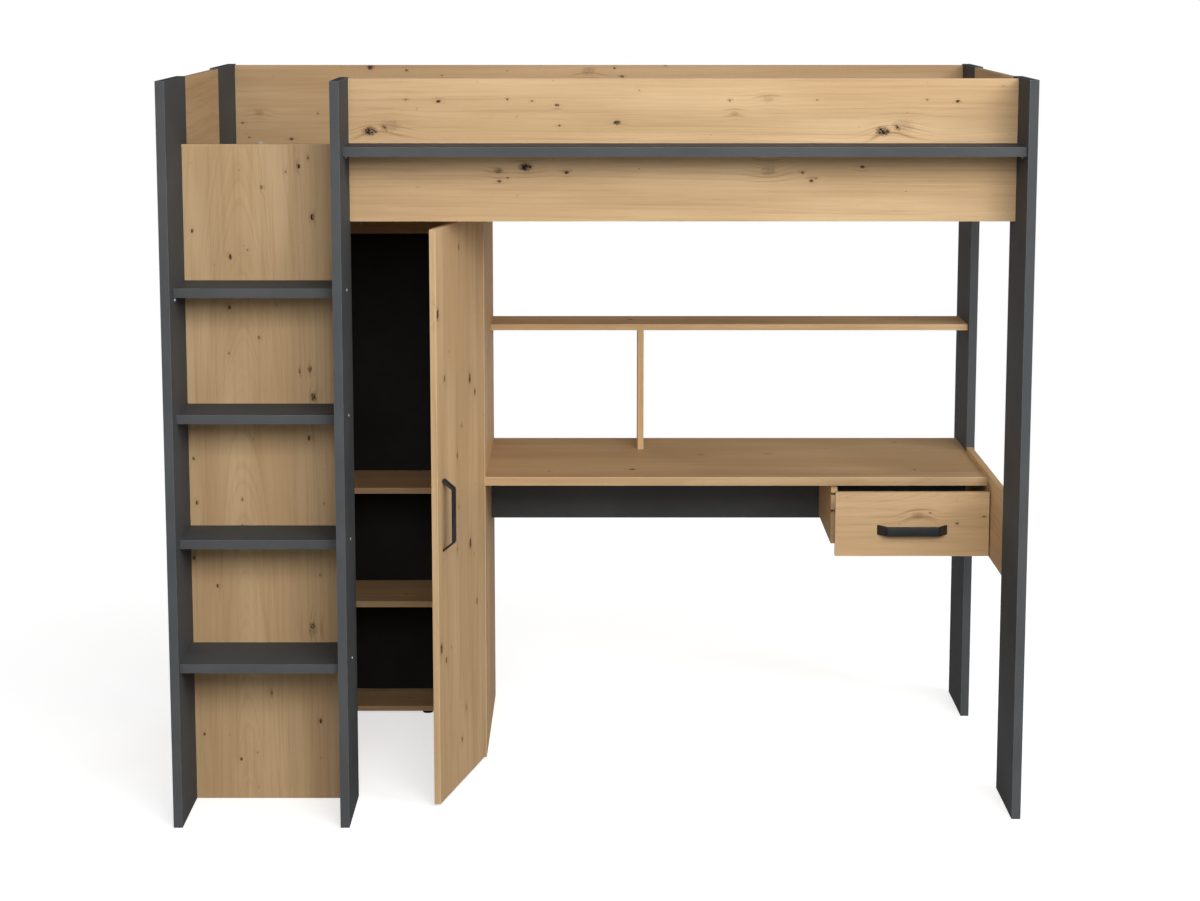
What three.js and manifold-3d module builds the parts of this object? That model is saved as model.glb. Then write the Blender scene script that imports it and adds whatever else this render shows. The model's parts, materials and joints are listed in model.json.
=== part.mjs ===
// Loft bed: a slatted bed with guard boards on tall posts, with a box ladder at its front left,
// a wardrobe behind the ladder and a desk with a shelf and a drawer under the rest of the bed.
// Units are millimetres. +X runs to the desk's end, +Y to the wall behind the bed and +Z up.
// The bed is laid out from its left end, the ladder's front and the floor; the outer group then
// moves it so that the origin is on the floor under the middle of the bed.

import * as THREE from 'three';
import { mergeVertices } from 'three/addons/utils/BufferGeometryUtils.js';
import Module from 'manifold-3d';

const wasm = await Module();
wasm.setup();

// Boards
const FRAME_BOARD = 22; // posts, steps, ledge and desk top
const PANEL_BOARD = 16; // guards, panels, shelves and doors
const DRAWER_BOARD = 12; // drawer sides and back
const THIN_BOARD = 3; // wardrobe back and drawer bottom
const FIT_GAP = 0.3; // clearance left around pieces let into the turning door
const RUN_PAST = 1; // how far a cutting or joining solid runs past a face
const ROUND_SIDES = 32; // flats round a hinge cup

// Bed frame
const BED_WIDTH = 2048;
const BED_DEPTH = 1175;
const POST_HEIGHT = 1788;
const GUARD_TOP = 1785;
const LEDGE_TOP = 1630.5;
const RAIL_BOTTOM = 1442.5;
const FRONT_GUARD_BACK = 240; // the mattress starts behind this
const BACK_GUARD_INSET = 3;
const LADDER_CLEAR_WIDTH = 379.5;
const LEDGE_FRONT = 78;
const RIGHT_POST_FRONT = 64;
const END_POST_BACK = 304;
const REAR_POST_FRONT = { left: 843, right: 935 };

// Ladder
const STEP_TOPS = [400, 695, 998, 1300];
const STEP_FRONTS = [19, 57, 57, 57];
const LADDER_PANEL_TOP = 1628;

// Bed base
const BATTEN = { depth: 25, height: 28, bottom: 1446 };
const SLAT = { count: 10, width: 120, thickness: 16, endGap: 1 };

// Wardrobe
const WARDROBE = { left: 314, right: 730, front: 560, back: 1138, height: 1430 };
const WARDROBE_BACK_INSET = 5;
const WARDROBE_SHELVES = [
  { name: 'wardrobe_bottom', top: 23, depth: 176, thickness: 14 },
  { name: 'wardrobe_shelf_lower', top: 339, depth: 249, thickness: PANEL_BOARD },
  { name: 'wardrobe_shelf_upper', top: 655, depth: 249, thickness: PANEL_BOARD },
];
const BACK_RAIL_HEIGHT = 90;

// Wardrobe door, drawn shut and then turned about its hinge line
const DOOR = { width: 413, height: 1422, bottom: 8, reveal: 2, sideReveal: 1 };
const DOOR_REST_ANGLE = THREE.MathUtils.degToRad(76.6);
const HINGE_LINE = { fromEdge: 6.3, fromFace: 5 }; // in from the door's hinge edge and outer face
const HINGE_HEIGHTS = [110, 715, 1320];
const HINGE_CUP = { radius: 17.5, wall: 2, depth: 11.5, fromEdge: 21.5, bore: 12 };
const HINGE_FLANGE = { width: 25, height: 62, thickness: 1.2 };
const HINGE_ARM = { width: 10, height: 12, length: 70, plate: 4.5, plateHeight: 52, plateLength: 34 };

// Desk, with a shelf above it and the right end's lower panel
const DESK = { front: 571, back: 1138, top: 746 };
const MODESTY = { front: 940, bottom: 560 };
const DESK_SHELF = { top: 1091.5, front: 961, back: 1134 };
const SHELF_DIVIDER = { left: 1130, setback: 3 };
const DESK_SIDE = { bottom: 550, top: 758 };

// Drawer, placed with its front pulled out by DRAWER_OPEN
const DRAWER_OPEN = 77;
const DRAWER_FRONT = { left: 1629, right: 2023, bottom: 555, top: 722 };
const DRAWER_BOX = { bottom: 570, top: 640, length: 345, sideGap: 13 };
const DRAWER_HOUSING = { left: 1626, bottom: 567, front: 588 };
const RUNNER = { height: 34, wall: 1.5, depth: 10.5, length: 330, setback: 2, middle: 605 };
const RUNNER_RAIL = { height: 26, tongue: 10, reach: 8.5 };

// Bow handles, bent from one flat strip
const HANDLE = { length: 180, straight: 135, projection: 28, width: 25, strip: 5 };
const DOOR_HANDLE = { fromFreeEdge: 50, middle: 726 };
const DRAWER_HANDLE_MIDDLE = 624.5;

const FINISHES = {
  oak: { color: 0xc9a678, roughness: 0.6, metalness: 0 },
  anthracite: { color: 0x4b4c4e, roughness: 0.55, metalness: 0 },
  blackBoard: { color: 0x141415, roughness: 0.7, metalness: 0 },
  pine: { color: 0xd9bd90, roughness: 0.7, metalness: 0 },
  blackMetal: { color: 0x232427, roughness: 0.45, metalness: 0.6 },
  steel: { color: 0xb4b6b8, roughness: 0.35, metalness: 1 },
};

const bed = new THREE.Group();

function addPiece(group, name, finish, geometry) {
  const piece = new THREE.Mesh(geometry, new THREE.MeshStandardMaterial(FINISHES[finish]));
  piece.name = name;
  group.add(piece);
  return piece;
}

// A rectangular board between two limits along each axis.
function addBoard(group, name, finish, x, y, z) {
  const geometry = new THREE.BoxGeometry(x[1] - x[0], y[1] - y[0], z[1] - z[0]);
  const board = addPiece(group, name, finish, geometry);
  board.position.set((x[0] + x[1]) / 2, (y[0] + y[1]) / 2, (z[0] + z[1]) / 2);
  return board;
}

// Solids for joining and cutting

function toSolid(geometry) {
  geometry.deleteAttribute('normal');
  geometry.deleteAttribute('uv');
  const merged = mergeVertices(geometry);
  return new wasm.Manifold(new wasm.Mesh({
    numProp: 3,
    vertProperties: new Float32Array(merged.attributes.position.array),
    triVerts: new Uint32Array(merged.index.array),
  }));
}

function toGeometry(solid) {
  const mesh = solid.getMesh();
  const geometry = new THREE.BufferGeometry();
  geometry.setAttribute('position', new THREE.BufferAttribute(mesh.vertProperties, 3));
  geometry.setIndex(new THREE.BufferAttribute(mesh.triVerts, 1));
  geometry.computeVertexNormals();
  return geometry;
}

function boxSolid(x, y, z) {
  const geometry = new THREE.BoxGeometry(x[1] - x[0], y[1] - y[0], z[1] - z[0]);
  geometry.translate((x[0] + x[1]) / 2, (y[0] + y[1]) / 2, (z[0] + z[1]) / 2);
  return toSolid(geometry);
}

// A short cylinder along Y.
function discSolid(radius, x, y, z) {
  const geometry = new THREE.CylinderGeometry(radius, radius, y[1] - y[0], ROUND_SIDES);
  geometry.translate(x, (y[0] + y[1]) / 2, z);
  return toSolid(geometry);
}

// Bed frame

const innerLeft = FRAME_BOARD;
const innerRight = BED_WIDTH - FRAME_BOARD;
const ladderRight = innerLeft + LADDER_CLEAR_WIDTH;
const railLeft = ladderRight + FRAME_BOARD;
const guardFront = FRONT_GUARD_BACK - PANEL_BOARD;
const ledgeBottom = LEDGE_TOP - FRAME_BOARD;
const backGuardBack = BED_DEPTH - BACK_GUARD_INSET;
const backGuardFront = backGuardBack - PANEL_BOARD;

function addPosts() {
  const leftEnd = [0, innerLeft];
  const rightEnd = [innerRight, BED_WIDTH];
  const middle = [ladderRight, railLeft];
  const z = [0, POST_HEIGHT];
  addBoard(bed, 'left_front_post', 'anthracite', leftEnd, [0, END_POST_BACK], z);
  addBoard(bed, 'ladder_inner_post', 'anthracite', middle, [0, FRONT_GUARD_BACK], z);
  addBoard(bed, 'right_front_post', 'anthracite', rightEnd, [RIGHT_POST_FRONT, END_POST_BACK], z);
  addBoard(bed, 'left_rear_post', 'anthracite', leftEnd, [REAR_POST_FRONT.left, BED_DEPTH], z);
  addBoard(bed, 'right_rear_post', 'anthracite', rightEnd, [REAR_POST_FRONT.right, BED_DEPTH], z);
}

function addLadder() {
  const x = [innerLeft, ladderRight];
  addBoard(bed, 'ladder_back_panel', 'oak', x, [guardFront, FRONT_GUARD_BACK], [0, LADDER_PANEL_TOP]);
  STEP_TOPS.forEach((top, i) => {
    const y = [STEP_FRONTS[i], guardFront];
    addBoard(bed, `ladder_step_${i + 1}`, 'anthracite', x, y, [top - FRAME_BOARD, top]);
  });
}

function addGuards() {
  const x = [railLeft, innerRight];
  const y = [guardFront, FRONT_GUARD_BACK];
  addBoard(bed, 'front_guard', 'oak', x, y, [LEDGE_TOP, GUARD_TOP]);
  addBoard(bed, 'front_ledge', 'anthracite', x, [LEDGE_FRONT, FRONT_GUARD_BACK], [ledgeBottom, LEDGE_TOP]);
  addBoard(bed, 'front_side_rail', 'oak', x, y, [RAIL_BOTTOM, ledgeBottom]);

  const z = [RAIL_BOTTOM, GUARD_TOP];
  addBoard(bed, 'back_guard', 'oak', [innerLeft, innerRight], [backGuardFront, backGuardBack], z);
  const leftEnd = [innerLeft - PANEL_BOARD, innerLeft];
  const rightEnd = [innerRight, innerRight + PANEL_BOARD];
  addBoard(bed, 'left_end_guard', 'oak', leftEnd, [END_POST_BACK, REAR_POST_FRONT.left], z);
  addBoard(bed, 'right_end_guard', 'oak', rightEnd, [END_POST_BACK, REAR_POST_FRONT.right], z);
}

function addBedBase() {
  const x = [innerLeft, innerRight];
  const z = [BATTEN.bottom, BATTEN.bottom + BATTEN.height];
  const frontY = [FRONT_GUARD_BACK, FRONT_GUARD_BACK + BATTEN.depth];
  const backY = [backGuardFront - BATTEN.depth, backGuardFront];
  addBoard(bed, 'front_batten', 'pine', x, frontY, z);
  addBoard(bed, 'rear_batten', 'pine', x, backY, z);

  const slatY = [FRONT_GUARD_BACK + SLAT.endGap, backGuardFront - SLAT.endGap];
  const slatZ = [z[1], z[1] + SLAT.thickness];
  const gap = (innerRight - innerLeft - SLAT.count * SLAT.width) / (SLAT.count + 1);
  for (let i = 0; i < SLAT.count; i++) {
    const left = innerLeft + gap + i * (SLAT.width + gap);
    const number = String(i + 1).padStart(2, '0');
    addBoard(bed, `bed_slat_${number}`, 'pine', [left, left + SLAT.width], slatY, slatZ);
  }
}

// Wardrobe

const wardrobeInnerLeft = WARDROBE.left + PANEL_BOARD;
const wardrobeInnerRight = WARDROBE.right - PANEL_BOARD;

function addWardrobe() {
  const depth = [WARDROBE.front, WARDROBE.back];
  const height = [0, WARDROBE.height];
  const inside = [wardrobeInnerLeft, wardrobeInnerRight];
  const topZ = [WARDROBE.height - PANEL_BOARD, WARDROBE.height];
  const backFace = WARDROBE.back - WARDROBE_BACK_INSET - THIN_BOARD;
  const backY = [backFace, backFace + THIN_BOARD];
  const firstShelf = WARDROBE_SHELVES[0];

  addBoard(bed, 'wardrobe_left_side', 'oak', [WARDROBE.left, wardrobeInnerLeft], depth, height);
  addBoard(bed, 'wardrobe_right_side', 'oak', [wardrobeInnerRight, WARDROBE.right], depth, height);
  addBoard(bed, 'wardrobe_top', 'oak', inside, [WARDROBE.front, backFace], topZ);
  addBoard(bed, 'wardrobe_back', 'blackBoard', inside, backY,
    [firstShelf.top - firstShelf.thickness, WARDROBE.height]);
  addBoard(bed, 'wardrobe_back_rail', 'oak', inside, [backFace - PANEL_BOARD, backFace],
    [topZ[0] - BACK_RAIL_HEIGHT, topZ[0]]);
  for (const shelf of WARDROBE_SHELVES) {
    const y = [backFace - shelf.depth, backFace];
    addBoard(bed, shelf.name, 'oak', inside, y, [shelf.top - shelf.thickness, shelf.top]);
  }
}

// A concealed hinge's cup with its screw flange, let into the door's inner face at y = PANEL_BOARD.
function hingeCup(x, z) {
  const face = PANEL_BOARD + FIT_GAP;
  const bottom = PANEL_BOARD - HINGE_CUP.depth;
  const flangeTop = face + HINGE_FLANGE.thickness;
  const halfWidth = HINGE_FLANGE.width / 2;
  const halfHeight = HINGE_FLANGE.height / 2;
  const flangeZ = [z - halfHeight, z + halfHeight];
  const flange = boxSolid([x - halfWidth, x + halfWidth], [face, flangeTop], flangeZ);
  const outside = discSolid(HINGE_CUP.radius, x, [bottom, flangeTop], z);
  const hollowY = [bottom + HINGE_CUP.wall, flangeTop + RUN_PAST];
  const hollow = discSolid(HINGE_CUP.radius - HINGE_CUP.wall, x, hollowY, z);
  return toGeometry(flange.add(outside).subtract(hollow));
}

// The hinge's arm on its mounting plate, on the inner face of the wardrobe's right side. Its nose
// reaches into the cup when the door is shut.
function hingeArm(z) {
  const plateX = [wardrobeInnerRight - HINGE_ARM.plate, wardrobeInnerRight];
  const armX = [plateX[0] - HINGE_ARM.width, plateX[0] + RUN_PAST];
  const nose = WARDROBE.front - DOOR.reveal - HINGE_CUP.depth / 2;
  const tail = nose + HINGE_ARM.length;
  const halfArm = HINGE_ARM.height / 2;
  const halfPlate = HINGE_ARM.plateHeight / 2;
  const arm = boxSolid(armX, [nose, tail], [z - halfArm, z + halfArm]);
  const plate = boxSolid(plateX, [tail - HINGE_ARM.plateLength, tail], [z - halfPlate, z + halfPlate]);
  return toGeometry(arm.add(plate));
}

// A bow handle on a face whose outward side is +Y, long way along Z, centred on the origin.
function bowHandle() {
  const foot = HANDLE.length / 2;
  const bend = HANDLE.straight / 2;
  const legAngle = Math.atan2(HANDLE.projection, foot - bend);
  const footWidth = HANDLE.strip / Math.sin(legAngle);
  const innerBend = bend - HANDLE.strip * Math.tan(legAngle / 2);
  const outline = new THREE.Shape([
    new THREE.Vector2(-foot, 0),
    new THREE.Vector2(-bend, HANDLE.projection),
    new THREE.Vector2(bend, HANDLE.projection),
    new THREE.Vector2(foot, 0),
    new THREE.Vector2(foot - footWidth, 0),
    new THREE.Vector2(innerBend, HANDLE.projection - HANDLE.strip),
    new THREE.Vector2(-innerBend, HANDLE.projection - HANDLE.strip),
    new THREE.Vector2(footWidth - foot, 0),
  ]);
  const geometry = new THREE.ExtrudeGeometry(outline, { depth: HANDLE.width, bevelEnabled: false });
  geometry.translate(0, 0, -HANDLE.width / 2);
  return geometry;
}

function addDoor() {
  const hingeEdge = WARDROBE.right - DOOR.sideReveal;
  const outerFace = WARDROBE.front - DOOR.reveal - PANEL_BOARD;
  const swing = new THREE.Group();
  swing.position.set(hingeEdge - HINGE_LINE.fromEdge, outerFace + HINGE_LINE.fromFace, 0);
  swing.rotation.z = DOOR_REST_ANGLE;
  bed.add(swing);
  const door = new THREE.Group();
  door.position.set(HINGE_LINE.fromEdge, -HINGE_LINE.fromFace, 0);
  swing.add(door);

  const cupX = -HINGE_CUP.fromEdge;
  const boreY = [PANEL_BOARD - HINGE_CUP.bore, PANEL_BOARD + RUN_PAST];
  let panel = boxSolid([-DOOR.width, 0], [0, PANEL_BOARD], [DOOR.bottom, DOOR.bottom + DOOR.height]);
  HINGE_HEIGHTS.forEach((z, i) => {
    panel = panel.subtract(discSolid(HINGE_CUP.radius + FIT_GAP, cupX, boreY, z));
    addPiece(door, `door_hinge_cup_${i + 1}`, 'steel', hingeCup(cupX, z));
    addPiece(bed, `door_hinge_arm_${i + 1}`, 'steel', hingeArm(z));
  });
  addPiece(door, 'wardrobe_door', 'oak', toGeometry(panel));

  const handle = addPiece(door, 'door_handle', 'blackMetal', bowHandle());
  handle.rotation.set(0, Math.PI / 2, Math.PI);
  handle.position.set(DOOR_HANDLE.fromFreeEdge - DOOR.width, -FIT_GAP, DOOR_HANDLE.middle);
}

// Desk

function addDesk() {
  const x = [WARDROBE.right, innerRight];
  const deskUnderside = DESK.top - FRAME_BOARD;
  const shelfZ = [DESK_SHELF.top - PANEL_BOARD, DESK_SHELF.top];
  const dividerX = [SHELF_DIVIDER.left, SHELF_DIVIDER.left + PANEL_BOARD];
  const dividerY = [DESK_SHELF.front + SHELF_DIVIDER.setback, DESK_SHELF.back];
  const sideX = [innerRight, innerRight + PANEL_BOARD];
  const housingX = [DRAWER_HOUSING.left, DRAWER_HOUSING.left + PANEL_BOARD];

  addBoard(bed, 'desk_top', 'oak', x, [DESK.front, DESK.back], [deskUnderside, DESK.top]);
  addBoard(bed, 'desk_modesty_panel', 'anthracite', x, [MODESTY.front, MODESTY.front + PANEL_BOARD],
    [MODESTY.bottom, deskUnderside]);
  addBoard(bed, 'desk_shelf', 'oak', x, [DESK_SHELF.front, DESK_SHELF.back], shelfZ);
  addBoard(bed, 'shelf_divider', 'oak', dividerX, dividerY, [DESK.top, shelfZ[0]]);
  addBoard(bed, 'desk_side_panel', 'oak', sideX, [END_POST_BACK, REAR_POST_FRONT.right],
    [DESK_SIDE.bottom, DESK_SIDE.top]);
  addBoard(bed, 'drawer_housing_side', 'oak', housingX, [DRAWER_HOUSING.front, MODESTY.front],
    [DRAWER_HOUSING.bottom, deskUnderside]);
}

// An outline in X and Z, drawn for the drawer's left side, drawn out along Y from front to back.
// The right side's outline is the mirror image.
function profileAlongY(points, originX, side, y) {
  const outline = new THREE.Shape(points.map(([x, z]) => new THREE.Vector2(originX + side * x, z)));
  const geometry = new THREE.ExtrudeGeometry(outline, { depth: y[1] - y[0], bevelEnabled: false });
  geometry.rotateX(Math.PI / 2);
  geometry.translate(0, y[1], 0);
  return geometry;
}

// The channel fixed to the housing, and the rail on the drawer whose tongue slides in it.
function addRunner(drawer, name, housingFace, side, frontBack) {
  const { wall, depth, height, middle, length, setback } = RUNNER;
  const low = middle - height / 2;
  const high = middle + height / 2;
  const channel = [
    [0, low], [depth, low], [depth, low + wall], [wall, low + wall],
    [wall, high - wall], [depth, high - wall], [depth, high], [0, high],
  ];
  const channelFront = DRAWER_HOUSING.front + setback;
  const channelY = [channelFront, channelFront + length];
  addPiece(bed, `drawer_channel_${name}`, 'steel', profileAlongY(channel, housingFace, side, channelY));

  const gap = DRAWER_BOX.sideGap;
  const tongueLow = middle - RUNNER_RAIL.tongue / 2;
  const tongueHigh = middle + RUNNER_RAIL.tongue / 2;
  const tongueTip = gap - wall - RUNNER_RAIL.reach;
  const railLow = middle - RUNNER_RAIL.height / 2;
  const railHigh = middle + RUNNER_RAIL.height / 2;
  const rail = [
    [gap, railLow], [gap, railHigh], [gap - wall, railHigh], [gap - wall, tongueHigh],
    [tongueTip, tongueHigh], [tongueTip, tongueLow], [gap - wall, tongueLow], [gap - wall, railLow],
  ];
  const railFront = frontBack + setback;
  const railY = [railFront, railFront + length];
  addPiece(drawer, `drawer_rail_${name}`, 'steel', profileAlongY(rail, housingFace, side, railY));
}

function addDrawer() {
  const drawer = new THREE.Group();
  drawer.position.y = -DRAWER_OPEN;
  bed.add(drawer);

  const frontBack = DESK.front + PANEL_BOARD;
  const boxBack = frontBack + DRAWER_BOX.length;
  const boxZ = [DRAWER_BOX.bottom, DRAWER_BOX.top];
  const leftFace = DRAWER_HOUSING.left + PANEL_BOARD;
  const left = leftFace + DRAWER_BOX.sideGap;
  const right = innerRight - DRAWER_BOX.sideGap;
  const boxY = [frontBack, boxBack];

  addBoard(drawer, 'drawer_front', 'oak', [DRAWER_FRONT.left, DRAWER_FRONT.right], [DESK.front, frontBack],
    [DRAWER_FRONT.bottom, DRAWER_FRONT.top]);
  addBoard(drawer, 'drawer_side_left', 'blackBoard', [left, left + DRAWER_BOARD], boxY, boxZ);
  addBoard(drawer, 'drawer_side_right', 'blackBoard', [right - DRAWER_BOARD, right], boxY, boxZ);
  addBoard(drawer, 'drawer_back', 'blackBoard', [left + DRAWER_BOARD, right - DRAWER_BOARD],
    [boxBack - DRAWER_BOARD, boxBack], boxZ);
  addBoard(drawer, 'drawer_bottom', 'blackBoard', [left, right], boxY, [boxZ[0] - THIN_BOARD, boxZ[0]]);
  addRunner(drawer, 'left', leftFace, 1, frontBack);
  addRunner(drawer, 'right', innerRight, -1, frontBack);

  const handle = addPiece(drawer, 'drawer_handle', 'blackMetal', bowHandle());
  handle.rotation.x = Math.PI;
  handle.position.set((DRAWER_FRONT.left + DRAWER_FRONT.right) / 2, DESK.front, DRAWER_HANDLE_MIDDLE);
}

addPosts();
addLadder();
addGuards();
addBedBase();
addWardrobe();
addDoor();
addDesk();
addDrawer();

bed.position.set(-BED_WIDTH / 2, -BED_DEPTH / 2, 0);
const loftBed = new THREE.Group();
loftBed.add(bed);

export default loftBed;
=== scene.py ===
"""Looks for the loft bed: oak and anthracite decor boards, black bow handles, fittings, light and camera."""

import json
import math
import random

import bmesh
import bpy
from mathutils import Matrix, Vector


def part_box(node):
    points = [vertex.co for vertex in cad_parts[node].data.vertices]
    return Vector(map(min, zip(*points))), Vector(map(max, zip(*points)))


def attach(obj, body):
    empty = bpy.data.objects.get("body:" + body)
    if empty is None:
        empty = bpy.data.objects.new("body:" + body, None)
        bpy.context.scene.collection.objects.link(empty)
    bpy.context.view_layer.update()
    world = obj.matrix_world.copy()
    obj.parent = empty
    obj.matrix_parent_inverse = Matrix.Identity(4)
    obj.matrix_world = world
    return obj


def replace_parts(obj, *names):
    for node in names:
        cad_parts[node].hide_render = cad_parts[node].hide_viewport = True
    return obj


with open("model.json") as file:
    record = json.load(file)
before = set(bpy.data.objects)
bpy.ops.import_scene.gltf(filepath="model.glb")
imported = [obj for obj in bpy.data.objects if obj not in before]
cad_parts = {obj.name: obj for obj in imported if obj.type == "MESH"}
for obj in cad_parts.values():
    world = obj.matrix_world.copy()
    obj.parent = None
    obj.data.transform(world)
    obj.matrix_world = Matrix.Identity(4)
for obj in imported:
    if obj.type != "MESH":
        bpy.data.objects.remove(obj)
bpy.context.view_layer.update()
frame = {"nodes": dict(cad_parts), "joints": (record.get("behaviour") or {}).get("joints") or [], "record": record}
scene = bpy.context.scene
nodes = frame["nodes"]
joints = {joint["name"]: joint for joint in frame["joints"]}
MM = 0.001
X, Y, Z = 0, 1, 2
RIGHT, FRONT, UP = Vector((1, 0, 0)), Vector((0, -1, 0)), Vector((0, 0, 1))

OAK_BOARD = 16 * MM
DOOR_WIDTH = 413 * MM
STEP_COUNT = 4
SLAT_COUNT = 10
HINGE_COUNT = 3

# The door at rest stands open. Its own frame is the one it has when shut, with its outer face's hinge corner
# at the origin. The hinge line runs inside the door, and HINGE_CORNER is that corner measured from the line.
DOOR_OPEN = -math.radians(joints["door_swing"]["range_deg"][0])
DOOR_AXIS = Vector(joints["door_swing"]["pos_m"]) * Vector((1, 1, 0))
HINGE_CORNER = Vector((6.3, -5.0, 0.0)) * MM
DOOR_FRAME = (Matrix.Translation(DOOR_AXIS) @ Matrix.Rotation(DOOR_OPEN, 4, "Z")
              @ Matrix.Translation(HINGE_CORNER))


def corners(name):
    """A CAD node's lowest and highest corners."""
    low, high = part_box(name)
    return low.copy(), high.copy()


# ---------------------------------------------------------------- camera and studio


CAMERA_PLACE = (-0.0072, -6.4505, 2.0245)
CAMERA_LENS = 76.05
CAMERA_SHIFT = (0.0031, -0.075)
LOOK_DOWN = 8.601  # degrees below level
BED_MIDDLE = Vector((0.0, 0.0, 0.9))
FLOOR_HALF = 40.0
FADE_START, FADE_END = 1.8, 4.5  # the radii between which the floor turns to plain white


def add_camera():
    """The photo's viewpoint. The photo's camera is level with a large shift, and this one looks down."""
    data = bpy.data.cameras.new("photo_camera")
    data.sensor_width = 36.0
    data.lens = CAMERA_LENS
    data.shift_x, data.shift_y = CAMERA_SHIFT
    data.clip_end = 200.0
    camera = bpy.data.objects.new("photo_camera", data)
    camera.location = CAMERA_PLACE
    camera.rotation_euler = (math.radians(90 - LOOK_DOWN), 0.0, 0.0)
    scene.collection.objects.link(camera)
    scene.camera = camera


def add_area_light(name, location, size, power):
    """A rectangular light that faces the bed and isn't seen itself."""
    data = bpy.data.lights.new(name, "AREA")
    data.shape = "RECTANGLE"
    data.size, data.size_y = size
    data.energy = power
    light = bpy.data.objects.new(name, data)
    light.location = location
    light.rotation_euler = (BED_MIDDLE - light.location).to_track_quat("-Z", "Y").to_euler()
    light.visible_camera = False
    scene.collection.objects.link(light)
    return light


def add_sky(front, back):
    """A soft sky, brighter in front of the bed than behind it, and plain white where it is seen."""
    scene.world = bpy.data.worlds.new("studio")
    scene.world.use_nodes = True
    tree = scene.world.node_tree
    sky = tree.nodes["Background"]
    paper = tree.nodes.new("ShaderNodeBackground")
    for backdrop in (sky, paper):
        backdrop.inputs["Color"].default_value = (1.0, 1.0, 1.0, 1.0)
    direction = tree.nodes.new("ShaderNodeTexCoord")
    axes = tree.nodes.new("ShaderNodeVectorMath")
    axes.operation = "DOT_PRODUCT"
    axes.inputs[1].default_value = (0.0, 1.0, 0.35)
    strength = tree.nodes.new("ShaderNodeMapRange")
    strength.interpolation_type = "SMOOTHSTEP"
    for label, value in (("From Min", -0.8), ("From Max", 0.4), ("To Min", front), ("To Max", back)):
        strength.inputs[label].default_value = value
    choice = tree.nodes.new("ShaderNodeMixShader")
    ray = tree.nodes.new("ShaderNodeLightPath")
    tree.links.new(direction.outputs["Generated"], axes.inputs[0])
    tree.links.new(axes.outputs["Value"], strength.inputs["Value"])
    tree.links.new(strength.outputs[0], sky.inputs["Strength"])
    tree.links.new(ray.outputs["Is Camera Ray"], choice.inputs["Fac"])
    tree.links.new(sky.outputs[0], choice.inputs[1])
    tree.links.new(paper.outputs[0], choice.inputs[2])
    tree.links.new(choice.outputs[0], tree.nodes["World Output"].inputs["Surface"])


def add_floor():
    shape = bmesh.new()
    bmesh.ops.create_grid(shape, x_segments=1, y_segments=1, size=FLOOR_HALF)
    data = bpy.data.meshes.new("floor")
    shape.to_mesh(data)
    shape.free()
    data.materials.append(floor_paper())
    floor = bpy.data.objects.new("floor", data)
    scene.collection.objects.link(floor)


def add_studio():
    scene.view_settings.view_transform = "Standard"
    add_sky(front=0.64, back=0.08)
    add_area_light("key", (1.2, -5.6, 3.3), size=(4.5, 2.0), power=245)
    add_area_light("right_fill", (5.2, -3.2, 4.4), size=(2.5, 2.0), power=95)
    for light in (add_area_light("rear", (1.5, 8.0, 1.6), size=(5.0, 2.0), power=280),
                  add_area_light("rear_left", (-3.5, 7.0, 2.2), size=(3.0, 2.0), power=150)):
        light.visible_glossy = False
    add_floor()


# ---------------------------------------------------------------- shader kit


class Field:
    """A number that varies over a surface. Arithmetic on it adds Math nodes to its material."""

    def __init__(self, tree, socket):
        self.tree = tree
        self.socket = socket

    def node(self, operation, *values, clamp=False):
        node = self.tree.nodes.new("ShaderNodeMath")
        node.operation = operation
        node.use_clamp = clamp
        for socket, value in zip(node.inputs, values):
            feed(self.tree, socket, value)
        return Field(self.tree, node.outputs[0])

    def __add__(self, other):
        return self.node("ADD", self, other)

    def __sub__(self, other):
        return self.node("SUBTRACT", self, other)

    def __mul__(self, other):
        return self.node("MULTIPLY", self, other)

    def __truediv__(self, other):
        return self.node("DIVIDE", self, other)

    def __pow__(self, other):
        return self.node("POWER", self, other)

    def root(self):
        return self.node("SQRT", self)

    def size(self):
        return self.node("ABSOLUTE", self)

    def least(self, other):
        return self.node("MINIMUM", self, other)

    def most(self, other):
        return self.node("MAXIMUM", self, other)

    def clamped(self):
        return self.node("ADD", self, 0.0, clamp=True)

    def ramp(self, low, high, start=0.0, end=1.0):
        """Runs smoothly from start at low to end at high, and stays level beyond them."""
        node = self.tree.nodes.new("ShaderNodeMapRange")
        node.interpolation_type = "SMOOTHSTEP"
        for socket, value in zip(node.inputs, (self, low, high, start, end)):
            feed(self.tree, socket, value)
        return Field(self.tree, node.outputs[0])


def feed(tree, socket, value):
    """Gives a socket a constant, or links it to a field or another socket."""
    if isinstance(value, Field):
        value = value.socket
    if isinstance(value, bpy.types.NodeSocket):
        tree.links.new(value, socket)
    else:
        socket.default_value = value


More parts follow.
